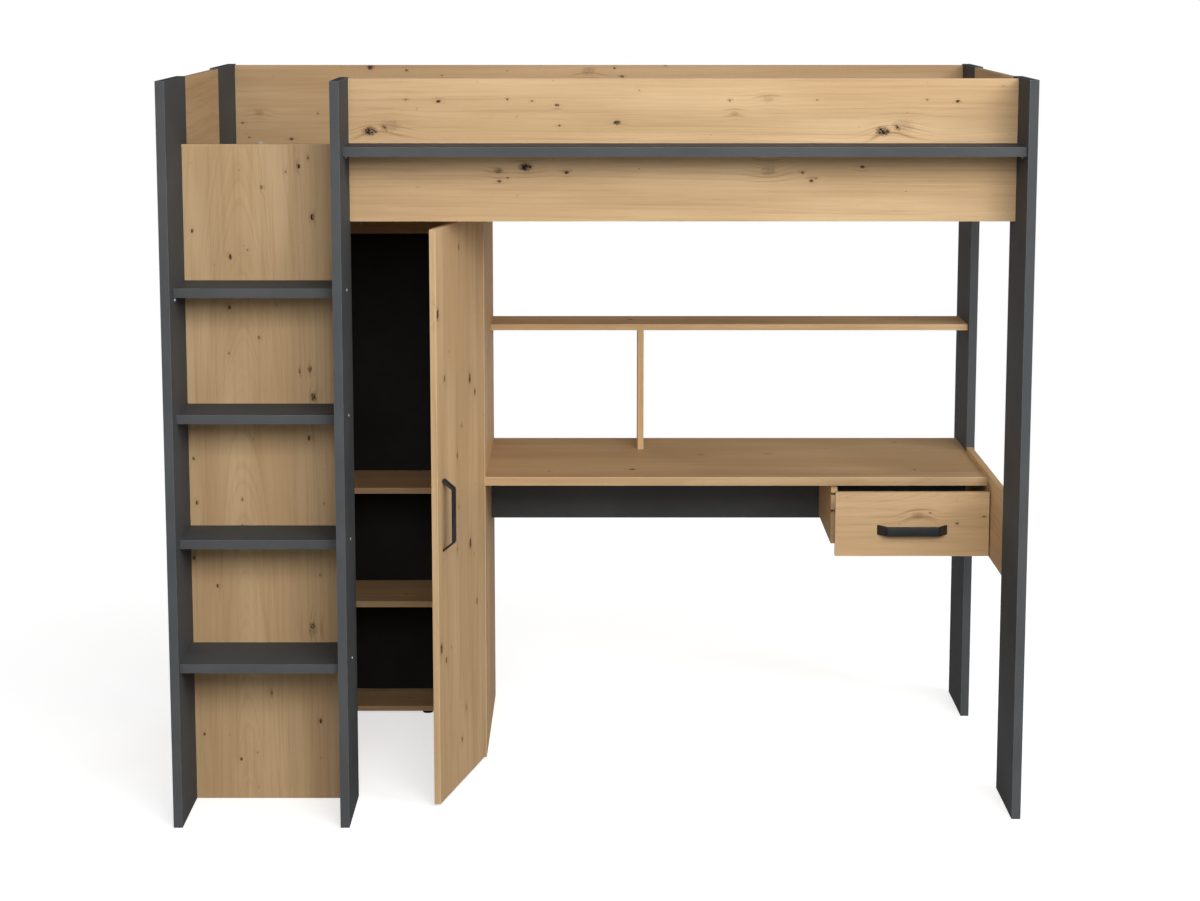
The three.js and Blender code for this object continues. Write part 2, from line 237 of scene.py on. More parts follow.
class Shader:
    """A material's node tree, with one short method for each kind of texture that the materials use."""

    def __init__(self, name):
        self.material = bpy.data.materials.new(name)
        self.material.use_nodes = True
        self.tree = self.material.node_tree
        self.principled = self.tree.nodes["Principled BSDF"]

    def add(self, kind, **inputs):
        node = self.tree.nodes.new(kind)
        for label, value in inputs.items():
            feed(self.tree, node.inputs[label.replace("_", " ")], value)
        return node

    def place(self, origin=(0.0, 0.0, 0.0), turn=0.0):
        """Three fields: the place on the piece measured from origin, turned back by turn about Z."""
        moved = self.add("ShaderNodeVectorMath")
        moved.operation = "SUBTRACT"
        feed(self.tree, moved.inputs[0], self.add("ShaderNodeTexCoord").outputs["Object"])
        feed(self.tree, moved.inputs[1], tuple(origin))
        turned = self.add("ShaderNodeVectorRotate", Vector=moved.outputs[0], Angle=-turn)
        turned.rotation_type = "Z_AXIS"
        axes = self.add("ShaderNodeSeparateXYZ", Vector=turned.outputs[0])
        return [Field(self.tree, socket) for socket in axes.outputs]

    def noise(self, x, y, z, detail=2.0, roughness=0.5, distortion=0.0):
        """Noise from 0 to 1 about 0.5, with features one unit across."""
        vector = self.add("ShaderNodeCombineXYZ", X=x, Y=y, Z=z).outputs[0]
        node = self.add("ShaderNodeTexNoise", Vector=vector, Scale=1.0, Detail=detail)
        node.inputs["Roughness"].default_value = roughness
        node.inputs["Distortion"].default_value = distortion
        return Field(self.tree, node.outputs[0])

    def even_noise(self, scale, detail=2.0, roughness=0.5):
        x, y, z = self.place()
        return self.noise(x * scale, y * scale, z * scale, detail, roughness)

    def lines(self, position, scale, detail=1.0):
        node = self.add("ShaderNodeTexNoise")
        node.noise_dimensions = "1D"
        feed(self.tree, node.inputs["W"], position)
        feed(self.tree, node.inputs["Scale"], scale)
        feed(self.tree, node.inputs["Detail"], detail)
        return Field(self.tree, node.outputs[0])

    def scatter(self, x, y, scale):
        """The distance to the nearest of many random points on a plane, and two random numbers of its own."""
        node = self.add("ShaderNodeTexVoronoi")
        node.voronoi_dimensions = "2D"
        vector = self.add("ShaderNodeCombineXYZ", X=x, Y=y).outputs[0]
        feed(self.tree, node.inputs["Vector"], vector)
        feed(self.tree, node.inputs["Scale"], scale)
        lots = self.add("ShaderNodeSeparateXYZ", Vector=node.outputs["Color"])
        distance = Field(self.tree, node.outputs["Distance"]) / scale
        return distance, Field(self.tree, lots.outputs[0]), Field(self.tree, lots.outputs[1])

    def mix(self, share, first, second):
        node = self.add("ShaderNodeMix")
        node.data_type = "RGBA"
        share_socket, first_socket, second_socket = node.inputs[0], node.inputs[6], node.inputs[7]
        for socket, value in ((share_socket, share), (first_socket, first), (second_socket, second)):
            feed(self.tree, socket, value)
        return node.outputs[2]

    def bump(self, height, distance):
        node = self.add("ShaderNodeBump", Height=height, Distance=distance)
        feed(self.tree, self.principled.inputs["Normal"], node.outputs[0])

    def surface(self, colour, roughness, specular=0.5, metallic=0.0):
        feed(self.tree, self.principled.inputs["Base Color"], colour)
        feed(self.tree, self.principled.inputs["Roughness"], roughness)
        self.principled.inputs["Specular IOR Level"].default_value = specular
        self.principled.inputs["Metallic"].default_value = metallic
        return self.material


def rgb(red, green, blue):
    """A colour given in display values from 0 to 255, as the linear colour that a shader takes."""

    def linear(value):
        share = value / 255.0
        return share / 12.92 if share <= 0.04045 else ((share + 0.055) / 1.055) ** 2.4

    return (linear(red), linear(green), linear(blue), 1.0)


def floor_paper():
    """White paper, seen overexposed and fading to pure white with distance, as a lit studio sweep does.
    Only the camera sees that: every other ray meets a greyer paper that doesn't glow."""
    shader = Shader("floor_paper")
    x, y, _ = shader.place()
    paper = shader.add("ShaderNodeBsdfDiffuse", Color=(0.8, 0.8, 0.8, 1.0))
    glow = shader.add("ShaderNodeEmission", Strength=0.62)
    near = shader.add("ShaderNodeAddShader")
    shader.tree.links.new(paper.outputs[0], near.inputs[0])
    shader.tree.links.new(glow.outputs[0], near.inputs[1])
    far = shader.add("ShaderNodeEmission", Strength=1.0)
    bounce = shader.add("ShaderNodeBsdfDiffuse", Color=(0.4, 0.4, 0.4, 1.0))
    reach = (x * x + y * y).root().ramp(FADE_START, FADE_END)
    seen = join_shaders(shader, reach, near, far)
    camera_ray = shader.add("ShaderNodeLightPath").outputs["Is Camera Ray"]
    whole = join_shaders(shader, camera_ray, bounce, seen)
    shader.tree.links.new(whole.outputs[0], shader.tree.nodes["Material Output"].inputs["Surface"])
    shader.tree.nodes.remove(shader.principled)
    return shader.material


def join_shaders(shader, share, first, second):
    node = shader.add("ShaderNodeMixShader", Fac=share)
    shader.tree.links.new(first.outputs[0], node.inputs[1])
    shader.tree.links.new(second.outputs[0], node.inputs[2])
    return node


# ---------------------------------------------------------------- oak decor

OAK_LIGHT = rgb(221, 188, 144)
OAK_MIDDLE = rgb(203, 168, 124)
OAK_DARK = rgb(165, 128, 88)
KNOT_BROWN = rgb(126, 92, 60)
KNOT_BLACK = rgb(30, 27, 26)
KNOT_STRETCH = 0.62  # a knot is longer along the grain than across it by the inverse of this
PINHEAD_RADIUS = 1.1 * MM
PITH_DEPTH = 70 * MM  # the growth rings' middle lies this far outside the board's low face


def with_painted_shade(colour, painted_shade):
    """A colour multiplied by a painted-shade factor: painted shade, darker where the factor is below 1."""
    return tuple(channel * painted_shade for channel in colour[:3]) + (1.0,)


def own_knots(along, across, knots):
    """The board's own knots, each (along, across, radius in mm, how black its heart is)."""
    nearest, heart, lift = None, None, None
    for place_along, place_across, radius, black in knots:
        dx = (along - place_along * MM) * KNOT_STRETCH
        dy = across - place_across * MM
        away = (dx * dx + dy * dy).root() / (radius * MM)
        bulge = away.ramp(0.0, 4.0, 0.9 * radius * MM, 0.0)
        dark = away.ramp(1.8, 2.2, black, 0.0)
        nearest = away if nearest is None else nearest.least(away)
        heart = dark if heart is None else heart.most(dark)
        lift = bulge if lift is None else lift + bulge
    return nearest, heart, lift


def stray_knots(shader, along, across, largest):
    """Small random knots. Most are pinheads, and a few are larger by up to the largest radius in mm."""
    distance, first, second = shader.scatter(along * 0.7, across, 7.5)
    radius = first ** 6.0 * (largest * MM) + PINHEAD_RADIUS
    away = distance / radius
    heart = second.ramp(0.2, 0.9, 0.3, 1.0) * away.ramp(1.8, 2.2, 1.0, 0.0)
    return away, heart, away.ramp(0.0, 4.0, 0.8, 0.0) * radius


def oak(name, origin, along_axis, across_axis, knots=(), turn=0.0, pith=0.5, slope=0.05, largest=5.5,
        painted_shade=1.0):
    """Knotty oak decor. Its grain runs along one axis, and growth rings about a distant pith cut its face.
    The painted_shade factor multiplies its two ground colours as painted shade, darker for boards that lie in
    shade, and leaves its dark lines and its knots as they are."""
    shader = Shader(name)
    axes = shader.place(origin, turn)
    along, across = axes[along_axis], axes[across_axis]
    depth = axes[X + Y + Z - along_axis - across_axis]

    nearest, heart, lift = stray_knots(shader, along, across, largest)
    if knots:
        own_nearest, own_heart, own_lift = own_knots(along, across, knots)
        nearest = nearest.least(own_nearest)
        heart = heart.most(own_heart)
        lift = lift + own_lift

    slow = shader.noise(along * 1.2, across * 7.0, depth * 7.0)
    ripple = shader.noise(along * 7.0, across * 18.0, depth * 18.0)
    side = across - pith + slow * 0.05 + ripple * 0.004
    lean = along * slope + depth + PITH_DEPTH
    ring = (side * side + lean * lean).root() + lift
    broad = shader.lines(ring, 130.0, 2.0).ramp(0.45, 0.72)
    fine = shader.lines(ring, 620.0, 2.0).ramp(0.45, 0.75)
    band = shader.noise(along * 0.5, across * 16.0, depth * 16.0, 2.0, 0.6).ramp(0.36, 0.66)
    streak = shader.noise(along * 1.8, across * 75.0, depth * 75.0, 3.0, 0.65).ramp(0.42, 0.75)
    fibre = shader.noise(along * 11.0, across * 520.0, depth * 520.0, 2.0, 0.6)
    pores = shader.noise(along * 60.0, across * 1500.0, depth * 1500.0, 1.0).ramp(0.62, 0.74)

    near_knot = nearest.ramp(1.0, 3.2, 1.0, 0.0)
    dark = broad * (near_knot * 0.4 + 0.11) + fine * (near_knot * 0.2 + 0.16)
    dark = dark + band * 0.16 + streak * 0.3 + fibre.ramp(0.5, 0.75) * 0.2 + pores * 0.16
    # Painted shade: the two ground colours are darkened by the board's painted_shade factor.
    colour = shader.mix(slow.ramp(0.34, 0.66, 0.15, 1.0), with_painted_shade(OAK_MIDDLE, painted_shade), with_painted_shade(OAK_LIGHT, painted_shade))
    colour = shader.mix(dark.clamped(), colour, OAK_DARK)

    crumb = shader.noise(along * 150.0, across * 230.0, depth * 230.0, 3.0, 0.65, 0.8)
    torn = nearest + (crumb - 0.5) * 1.7
    crack_noise = shader.noise(along * 95.0, across * 210.0, depth * 150.0, 2.0, 0.6, 1.2)
    cracks = (crack_noise - 0.5).size().ramp(0.01, 0.04, 1.0, 0.0) * nearest.ramp(0.6, 1.1, 1.0, 0.0)
    flesh = torn.ramp(0.55, 1.1, 0.55, 0.0) * (heart * 0.75 + 0.25)
    patch_noise = shader.noise(along * 120.0, across * 200.0, depth * 200.0, 2.0, 0.6, 0.6)
    patches = patch_noise.ramp(0.42, 0.5, 0.2, 1.0)
    black = (torn.ramp(0.5, 0.75, 1.0, 0.0) * patches).most(cracks * 0.7) * heart
    colour = shader.mix(flesh, colour, KNOT_BROWN)
    colour = shader.mix(black, colour, KNOT_BLACK)

    shader.bump(fibre * -0.5 - pores * 0.5 - black * 1.5, 0.00014)
    return shader.surface(colour, fibre * 0.2 + black * 0.15 + 0.44, specular=0.22)


# ---------------------------------------------------------------- other materials


def anthracite():
    """Matt grey decor: a soft fine-grained print with a faint orange-peel press."""
    shader = Shader("anthracite_decor")
    cloud = shader.even_noise(5.0, 3.0, 0.6)
    speck = shader.even_noise(900.0, 2.0, 0.7)
    peel = shader.even_noise(260.0, 1.0)
    colour = shader.mix(cloud.ramp(0.3, 0.7), rgb(75, 77, 79), rgb(82, 84, 86))
    colour = shader.mix(speck.ramp(0.5, 0.8, 0.0, 0.5), colour, rgb(94, 96, 98))
    shader.bump(speck * 0.4 + peel, 0.00012)
    return shader.surface(colour, cloud * 0.12 + 0.62, specular=0.12)


def edge_band(name, plain, worn):
    """The thin rounded rim of the edge banding, a touch lighter and smoother from handling."""
    shader = Shader(name)
    mottle = shader.even_noise(35.0, 3.0, 0.6)
    colour = shader.mix(mottle.ramp(0.4, 0.7), plain, worn)
    return shader.surface(colour, mottle.ramp(0.3, 0.7, 0.38, 0.5), specular=0.4)


def black_board():
    shader = Shader("black_board")
    press = shader.even_noise(420.0, 2.0, 0.6)
    cloud = shader.even_noise(6.0, 3.0, 0.6)
    colour = shader.mix(cloud.ramp(0.35, 0.7), rgb(16, 16, 17), rgb(26, 26, 27))
    shader.bump(press, 0.0001)
    return shader.surface(colour, press * 0.2 + 0.55, specular=0.25)


def pine(name, origin):
    """Planed softwood: straight orange-brown growth lines on a pale ground, with the odd knot."""
    shader = Shader(name)
    x, y, z = shader.place(origin)
    away, heart, lift = stray_knots(shader, y, x, 9.0)
    slow = shader.noise(y * 1.5, x * 8.0, z * 8.0)
    ring = x + slow * 0.09 + z * 0.8 + lift
    fibre = shader.noise(x * 700.0, y * 12.0, z * 700.0, 2.0, 0.6)
    colour = shader.mix(shader.lines(ring, 150.0).ramp(0.42, 0.68), rgb(231, 203, 158), rgb(205, 163, 110))
    colour = shader.mix(fibre.ramp(0.5, 0.8, 0.0, 0.35), colour, rgb(188, 146, 98))
    colour = shader.mix(away.ramp(0.8, 1.6, 0.8, 0.0) * heart, colour, rgb(120, 74, 40))
    shader.bump(fibre, 0.0002)
    return shader.surface(colour, fibre * 0.2 + 0.5, specular=0.3)


def black_metal():
    """Black powder coat: a fine orange peel over strip metal, rubbed a little smoother in patches."""
    shader = Shader("black_powder_coat")
    peel = shader.even_noise(1500.0, 2.0, 0.6)
    rub = shader.even_noise(30.0, 3.0, 0.6)
    colour = shader.mix(rub.ramp(0.4, 0.7), rgb(32, 33, 35), rgb(42, 43, 46))
    shader.bump(peel, 0.00006)
    return shader.surface(colour, rub.ramp(0.3, 0.7, 0.36, 0.5), metallic=0.2)


def zinc(name, metallic=1.0):
    """Bright plated steel with faint rolling marks."""
    shader = Shader(name)
    x, y, z = shader.place()
    roll = shader.noise(x * 900.0, y * 60.0, z * 900.0)
    stain = shader.even_noise(70.0, 3.0, 0.6)
    colour = shader.mix(stain.ramp(0.35, 0.7), rgb(205, 207, 210), rgb(160, 163, 168))
    shader.bump(roll, 0.00003)
    return shader.surface(colour, roll * 0.18 + 0.22, metallic=metallic)


def plastic(name, dull, bright):
    shader = Shader(name)
    grain = shader.even_noise(1200.0, 2.0, 0.6)
    shader.bump(grain, 0.00004)
    return shader.surface(shader.mix(grain.ramp(0.35, 0.7), dull, bright), grain * 0.15 + 0.4, specular=0.45)


# ---------------------------------------------------------------- boards

# Knots that mark a board: place along the grain, place across it and radius, all in mm, and how black its
# heart is. Most places of the ladder's and the door's knots were read off the photo by eye, and a small
# program turned those readings into millimetres on the board.
GUARD_KNOTS = [(51, 29, 13, 1.0), (101, 42, 17, 0.12), (138, 104, 2.5, 0.7), (216, 100, 4.5, 1.0),
               (439, 101, 2.5, 0.8), (499, 91, 4.5, 0.9), (505, 42, 3.0, 0.8), (643, 49, 7, 0.9),
               (913, 102, 2.5, 0.8), (925, 71, 7, 0.15), (1005, 104, 9, 0.1), (1280, 29, 13, 1.0),
               (1330, 42, 17, 0.12), (1385, 104, 2.5, 0.7), (1458, 100, 4.5, 1.0)]
RAIL_KNOTS = [(424, 131, 12, 1.0), (358, 122, 8, 0.6), (360, 97, 4.5, 0.8), (521, 118, 5, 1.0),
              (1008, 122, 14, 0.2), (1089, 117, 3.5, 0.8), (1110, 98, 4.5, 0.9), (1232, 131, 5, 0.9)]
LADDER_KNOTS = [(1595, 303, 3, 0.7), (1575, 280, 5, 1.0), (1562, 249, 3, 0.5), (1524, 190, 4, 0.7),
                (1453, 311, 6, 1.0), (1420, 21, 4, 1.0), (1357, 112, 5, 0.9), (1373, 153, 3, 0.7),
                (1234, 107, 4.5, 0.9), (1160, 177, 4, 0.8), (1078, 274, 4.5, 0.8), (1082, 299, 6, 0.7),
                (1013, 307, 9, 0.9), (913, 295, 5, 0.9), (862, 11, 4, 0.9), (752, 17, 4, 1.0),
                (759, 128, 3, 0.7), (614, 6, 5, 0.9), (543, 63, 4, 0.9), (432, 296, 13, 0.2),
                (444, 295, 3, 1.0), (271, 191, 3.5, 0.7), (200, 311, 5, 1.0), (166, 22, 3.5, 0.9),
                (102, 112, 4, 1.0), (118, 153, 2.5, 0.8)]
DOOR_KNOTS = [(1369, 195, 5, 0.9), (1224, 14, 11, 1.0), (1061, 65, 8, 0.7), (1028, 283, 11, 1.0),
              (987, 328, 8, 0.8), (921, 209, 4, 0.7), (853, 167, 6, 0.9), (722, 180, 5, 0.6),
              (605, 278, 11, 1.0), (616, 162, 6, 0.3), (442, 334, 7, 0.8), (397, 20, 11, 1.0),
              (358, 60, 7, 0.9), (189, 234, 8, 0.25), (117, 192, 6, 0.9)]
DRAWER_KNOTS = [(212, 107, 12, 0.2), (243, 114, 3.5, 0.7), (312, 86, 3.5, 1.0)]
BACK_KNOTS = [(373, 336, 8, 0.9), (473, 328, 4, 0.9), (973, 326, 14, 0.15), (1045, 334, 3.5, 0.9),
              (1065, 312, 4, 0.9), (1184, 342, 4, 0.8), (18, 184, 3, 0.9), (36, 144, 3, 0.6),
              (153, 139, 5, 1.0), (227, 210, 3, 0.8), (65, 212, 10, 0.15)]
HOUSING_KNOTS = [(0, 132, 4, 1.0), (0, 87, 3.5, 1.0)]

# Oak boards: the axis that the grain runs along, the axis across it, where the rings' pith lies across the
# board, how fast the rings lean along it, its knots and its painted shade. A painted_shade below 1 darkens the
# ground colours as painted shade: on the back guard behind the front guard, on the ladder's back panel between
# its posts and steps, and on the desk top under the bed.
OAK_BOARDS = {
    "front_guard": dict(along_axis=X, across_axis=Z, knots=GUARD_KNOTS, pith=0.42, slope=0.02, largest=1.5),
    "front_side_rail": dict(along_axis=X, across_axis=Z, knots=RAIL_KNOTS, pith=-0.25, slope=0.03,
                            largest=1.5),
    "back_guard": dict(along_axis=X, across_axis=Z, knots=BACK_KNOTS, pith=0.5, slope=0.03, largest=2,
                       painted_shade=0.76),
    "left_end_guard": dict(along_axis=Y, across_axis=Z, pith=0.5),
    "right_end_guard": dict(along_axis=Y, across_axis=Z, pith=0.6),
    "ladder_back_panel": dict(along_axis=Z, across_axis=X, knots=LADDER_KNOTS, pith=0.16, slope=0.05,
                              largest=2, painted_shade=0.88),
    "wardrobe_left_side": dict(along_axis=Z, across_axis=Y, pith=0.3, slope=0.04),
    "wardrobe_right_side": dict(along_axis=Z, across_axis=Y, pith=0.45),
    "wardrobe_top": dict(along_axis=X, across_axis=Y, pith=0.4),
    "wardrobe_bottom": dict(along_axis=X, across_axis=Y, pith=-0.2),
    "wardrobe_shelf_lower": dict(along_axis=X, across_axis=Y, pith=0.4),
    "wardrobe_shelf_upper": dict(along_axis=X, across_axis=Y, pith=-0.1),
    "wardrobe_back_rail": dict(along_axis=X, across_axis=Z, pith=0.3),
    "desk_top": dict(along_axis=X, across_axis=Y, pith=0.75, slope=0.03, largest=7, painted_shade=0.82),
    "desk_shelf": dict(along_axis=X, across_axis=Y, pith=0.5),
    "shelf_divider": dict(along_axis=Z, across_axis=Y, pith=0.4),
    "desk_side_panel": dict(along_axis=Y, across_axis=Z, pith=0.5),
    "drawer_housing_side": dict(along_axis=Y, across_axis=Z, knots=HOUSING_KNOTS, pith=0.4),
    "drawer_front": dict(along_axis=X, across_axis=Z, knots=DRAWER_KNOTS, pith=0.2, slope=0.06, largest=1.5),
}


def dress(piece, material):
    piece.material_slots[0].link = "OBJECT"
    piece.material_slots[0].material = material


def round_edges(piece, width, segments=2, rim=None):
    """Rounds a CAD board's edges by modifiers, and gives the rounded rim its own finish."""
    weld = piece.modifiers.new("weld", "WELD")
    weld.merge_threshold = 0.01 * MM
    bevel = piece.modifiers.new("round", "BEVEL")
    bevel.width = width
    bevel.segments = segments
    bevel.limit_method = "ANGLE"
    bevel.angle_limit = math.radians(35)
    if rim is not None:
        piece.data.materials.append(rim)
        bevel.material = 1
    normals = piece.modifiers.new("normals", "WEIGHTED_NORMAL")
    normals.keep_sharp = False


def dress_boards():
    rims = {
        "oak_decor": edge_band("oak_rim", OAK_LIGHT, rgb(232, 202, 162)),
        "anthracite_decor": edge_band("anthracite_rim", rgb(84, 86, 88), rgb(102, 104, 105)),
        "black_board": edge_band("black_rim", rgb(28, 28, 29), rgb(40, 40, 41)),
    }
    plain = {"anthracite_decor": anthracite(), "black_board": black_board()}
    free_edge = DOOR_FRAME @ Vector((-DOOR_WIDTH, 0.0, 0.0))
    for part in frame["record"]["subparts"]:
        name, slot = part["node"], part["material_slot"]
        if name in OAK_BOARDS:
            dress(nodes[name], oak("oak_" + name, corners(name)[0], **OAK_BOARDS[name]))
        elif name == "wardrobe_door":
            dress(nodes[name], oak("oak_" + name, free_edge, Z, X, DOOR_KNOTS, DOOR_OPEN,
                                   pith=0.5, slope=0.03, largest=2))
        elif slot == "pine":
            dress(nodes[name], pine("pine_" + name, corners(name)[0]))
            round_edges(nodes[name], 2 * MM, 3)
        if slot in plain:
            dress(nodes[name], plain[slot])
        if slot in rims:
            round_edges(nodes[name], 0.9 * MM, 2, rims[slot])


def dress_steel():
    for name, piece in nodes.items():
        if name.startswith(("door_hinge", "drawer_channel", "drawer_rail")):
            dress(piece, FINISH["steel"])
            round_edges(piece, 0.35 * MM)


# ---------------------------------------------------------------- pieces


def new_piece(name, shape, finish, body):
    """Turns a bmesh in the bed's frame into a piece that rides on a body."""
    bmesh.ops.recalc_face_normals(shape, faces=shape.faces)
    data = bpy.data.meshes.new(name)
    shape.to_mesh(data)
    shape.free()
    data.materials.append(FINISH[finish])
    data.polygons.foreach_set("use_smooth", [True] * len(data.polygons))
    piece = bpy.data.objects.new(name, data)
    scene.collection.objects.link(piece)
    creases = piece.modifiers.new("creases", "EDGE_SPLIT")
    creases.split_angle = math.radians(38)
    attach(piece, body)
    return piece


def bridge(shape, rings):
    """Joins rings of points into a skin with a cap on each end."""
    loops = [[shape.verts.new(point) for point in ring] for ring in rings]
    for lower, upper in zip(loops, loops[1:]):
        for step in range(len(lower)):
            after = (step + 1) % len(lower)
            shape.faces.new((lower[step], lower[after], upper[after], upper[step]))
    shape.faces.new(list(reversed(loops[0])))
    shape.faces.new(loops[-1])


def turned(shape, profile, place, axis, spin=0.0, segments=24):
    """Adds a turned solid. The profile is (radius, height, crossed) from its foot to its middle: a crossed
    ring is drawn in between four arms, which makes a cross-shaped recess."""
    basis = Vector(axis).to_track_quat("Z", "Y").to_matrix()
    rings = []
    for radius, height, crossed in profile:
        ring = []
        for step in range(segments):
            angle = 2 * math.pi * step / segments
            reach = radius * (0.35 + 0.65 * abs(math.cos(2 * angle)) ** 3) if crossed else radius
            spot = Vector((reach * math.cos(angle + spin), reach * math.sin(angle + spin), height))
            ring.append(Vector(place) + basis @ spot)
        rings.append(ring)
    bridge(shape, rings)


def screw(radius, height):
    """A raised head with a cross recess."""
    return [(radius, -0.2 * MM, False), (radius, 0.25 * height, False),
            (0.86 * radius, 0.72 * height, False), (0.62 * radius, height, False),
            (0.56 * radius, height, True), (0.34 * radius, 0.25 * height, True)]


def cam(radius, height):
    """A cam lock's flat face, with a stepped rim and a cross slot."""
    return [(radius, -0.1 * MM, False), (radius, 0.6 * height, False), (0.93 * radius, height, False),
            (0.72 * radius, height, False), (0.68 * radius, 0.7 * height, False),
            (0.60 * radius, 0.7 * height, True), (0.42 * radius, 0.15 * height, True)]


def button(radius, height):
    """A plain pad or peg with a rounded rim."""
    return [(radius, -0.2 * MM, False), (radius, 0.55 * height, False), (0.9 * radius, 0.88 * height, False),
            (0.7 * radius, height, False), (0.2 * radius, height, False)]


def add_heads(name, places, profile, finish, body):
    """Many turned solids as one piece. Each place is (point, outward axis)."""
    spins = random.Random(name)
    shape = bmesh.new()
    for point, axis in places:
        turned(shape, profile, point, axis, spins.uniform(0, math.pi / 2))
    new_piece(name, shape, finish, body)


def spread(low, high, count, margin):
    """Evenly spaced places from low to high, the first and last of them margin in from the ends."""
    return [low + margin + (high - low - 2 * margin) * step / (count - 1) for step in range(count)]


# ---------------------------------------------------------------- handles

HANDLE = {"length": 180 * MM, "straight": 135 * MM, "projection": 28 * MM, "width": 25 * MM, "strip": 5 * MM}
BEND_RADIUS = 7 * MM
STRIP_EDGE_RADIUS = 1.3 * MM
HANDLE_SCREW_INSET = 8 * MM


def strip_section():
    """A flat strip's cross-section with rounded edges, as (across, outward) from its middle."""
    half_width = HANDLE["width"] / 2 - STRIP_EDGE_RADIUS
    half_strip = HANDLE["strip"] / 2 - STRIP_EDGE_RADIUS
    points = []
    for across_side, out_side, start in ((1, 1, 0), (-1, 1, 90), (-1, -1, 180), (1, -1, 270)):
        for step in range(4):
            angle = math.radians(start + 30 * step)
            points.append((across_side * half_width + STRIP_EDGE_RADIUS * math.cos(angle),
                           out_side * half_strip + STRIP_EDGE_RADIUS * math.sin(angle)))
    return points


def bow_line():
    """The handle's middle line as (along, outward, tangent angle), from foot to foot round its two bends."""
    slope = math.atan2(HANDLE["projection"], (HANDLE["length"] - HANDLE["straight"]) / 2)
    half = HANDLE["strip"] / 2
    top = HANDLE["projection"] - half
    foot = HANDLE["length"] / 2 - half / math.sin(slope)
    bend_middle = HANDLE["straight"] / 2 - half * math.tan(slope / 2) - BEND_RADIUS * math.tan(slope / 2)
    bend = []
    for step in range(9):
        angle = slope * (1 - step / 8)
        bend.append((-bend_middle - BEND_RADIUS * math.sin(angle),
                     top - BEND_RADIUS * (1 - math.cos(angle)), angle))
    other = [(-along, out, -angle) for along, out, angle in reversed(bend)]
    return [(-foot, 0.0, slope)] + bend + other + [(foot, 0.0, -slope)]


def bow_handle(name, node, body, matrix):
    """A bow handle bent from flat strip, its feet cut flush. The matrix takes its own frame, with its length
    along Z and its front at -Y, to the bed's."""
    line = bow_line()
    rings = []
    for index, (along, out, angle) in enumerate(line):
        ring = []
        for across, thick in strip_section():
            z = along - thick * math.sin(angle)
            y = out + thick * math.cos(angle)
            if index in (0, len(line) - 1):
                z -= y / math.tan(angle)
                y = 0.0
            ring.append(matrix @ Vector((across, -y, z)))
        rings.append(ring)
    shape = bmesh.new()
    bridge(shape, rings)
    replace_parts(new_piece(name, shape, "black_metal", body), node)


def add_handles():
    door_low, door_high = corners("door_handle")
    middle = DOOR_FRAME.inverted() @ ((door_low + door_high) / 2)
    place = Matrix.Translation((middle.x, 0.0, middle.z))
    bow_handle("door_pull", "door_handle", "door", DOOR_FRAME @ place)
    low, high = corners("drawer_handle")
    foot = Vector(((low.x + high.x) / 2, high.y, (low.z + high.z) / 2))
    bow_handle("drawer_pull", "drawer_handle", "drawer",
               Matrix.Translation(foot) @ Matrix.Rotation(math.pi / 2, 4, "Y"))
    inner = corners("drawer_front")[1].y
    reach = HANDLE["length"] / 2 - HANDLE_SCREW_INSET
    places = [(Vector((foot.x + side * reach, inner, foot.z)), -FRONT) for side in (-1, 1)]
    add_heads("drawer_handle_screws", places, screw(4 * MM, 2.2 * MM), "steel", "drawer")
    places = [(DOOR_FRAME @ Vector((middle.x, OAK_BOARD, middle.z + side * reach)),
               DOOR_FRAME.to_3x3() @ -FRONT) for side in (-1, 1)]
    add_heads("door_handle_screws", places, screw(4 * MM, 2.2 * MM), "steel", "door")


# ---------------------------------------------------------------- fittings

CUP_FLANGE = 1.2 * MM
CUP_SCREW_REACH = 24 * MM
ARM_PLATE_DEPTH = 4.5 * MM
CAM_INSET = 34 * MM
CHANNEL_WALL = 1.5 * MM


def add_ladder_screws():
    """Screws through the two ladder posts into the ends of each step."""
    places = []
    for number in range(1, STEP_COUNT + 1):
        low, high = corners(f"ladder_step_{number}")
        for post, axis in (("ladder_inner_post", RIGHT), ("left_front_post", -RIGHT)):
            post_low, post_high = corners(post)
            x = post_high.x if axis is RIGHT else post_low.x
            y = (post_low.y + post_high.y) / 2
            places.append((Vector((x, y, (low.z + high.z) / 2)), axis))
    add_heads("ladder_screws", places, screw(3.8 * MM, 1.8 * MM), "nickel", "bed_frame")


def add_support_pegs():
    """Plated pegs that carry the ledge's two ends and the top step."""
    below_ledge, behind_ledge_front = 5 * MM, 52 * MM
    below_step, behind_step_front = 6 * MM, 9 * MM
    low, _ = corners("front_ledge")
    z = low.z - below_ledge
    y = low.y + behind_ledge_front
    inner_post = corners("ladder_inner_post")[1].x
    right_post = corners("right_front_post")[0].x
    step_low, _ = corners("ladder_step_4")
    left_post = corners("left_front_post")[1].x
    places = [(Vector((inner_post, y, z)), RIGHT), (Vector((right_post, y, z)), -RIGHT),
              (Vector((left_post, step_low.y + behind_step_front, step_low.z - below_step)), RIGHT)]
    add_heads("support_pegs", places, button(3.4 * MM, 4 * MM), "nickel", "bed_frame")


def cam_places(node, face, length, offsets, inset=CAM_INSET):
    """Places for cam locks on one face of a board: inset from the two ends of its length, at offsets up
    from its low edge."""
    low, high = corners(node)
    normal = max((X, Y, Z), key=lambda axis: abs(face[axis]))
    width = X + Y + Z - normal - length
    places = []
    for end in (low[length] + inset, high[length] - inset):
        for offset in offsets:
            point = Vector((0.0, 0.0, 0.0))
            point[normal] = high[normal] if face[normal] > 0 else low[normal]
            point[length] = end
            point[width] = low[width] + offset
            places.append((point, face))
    return places


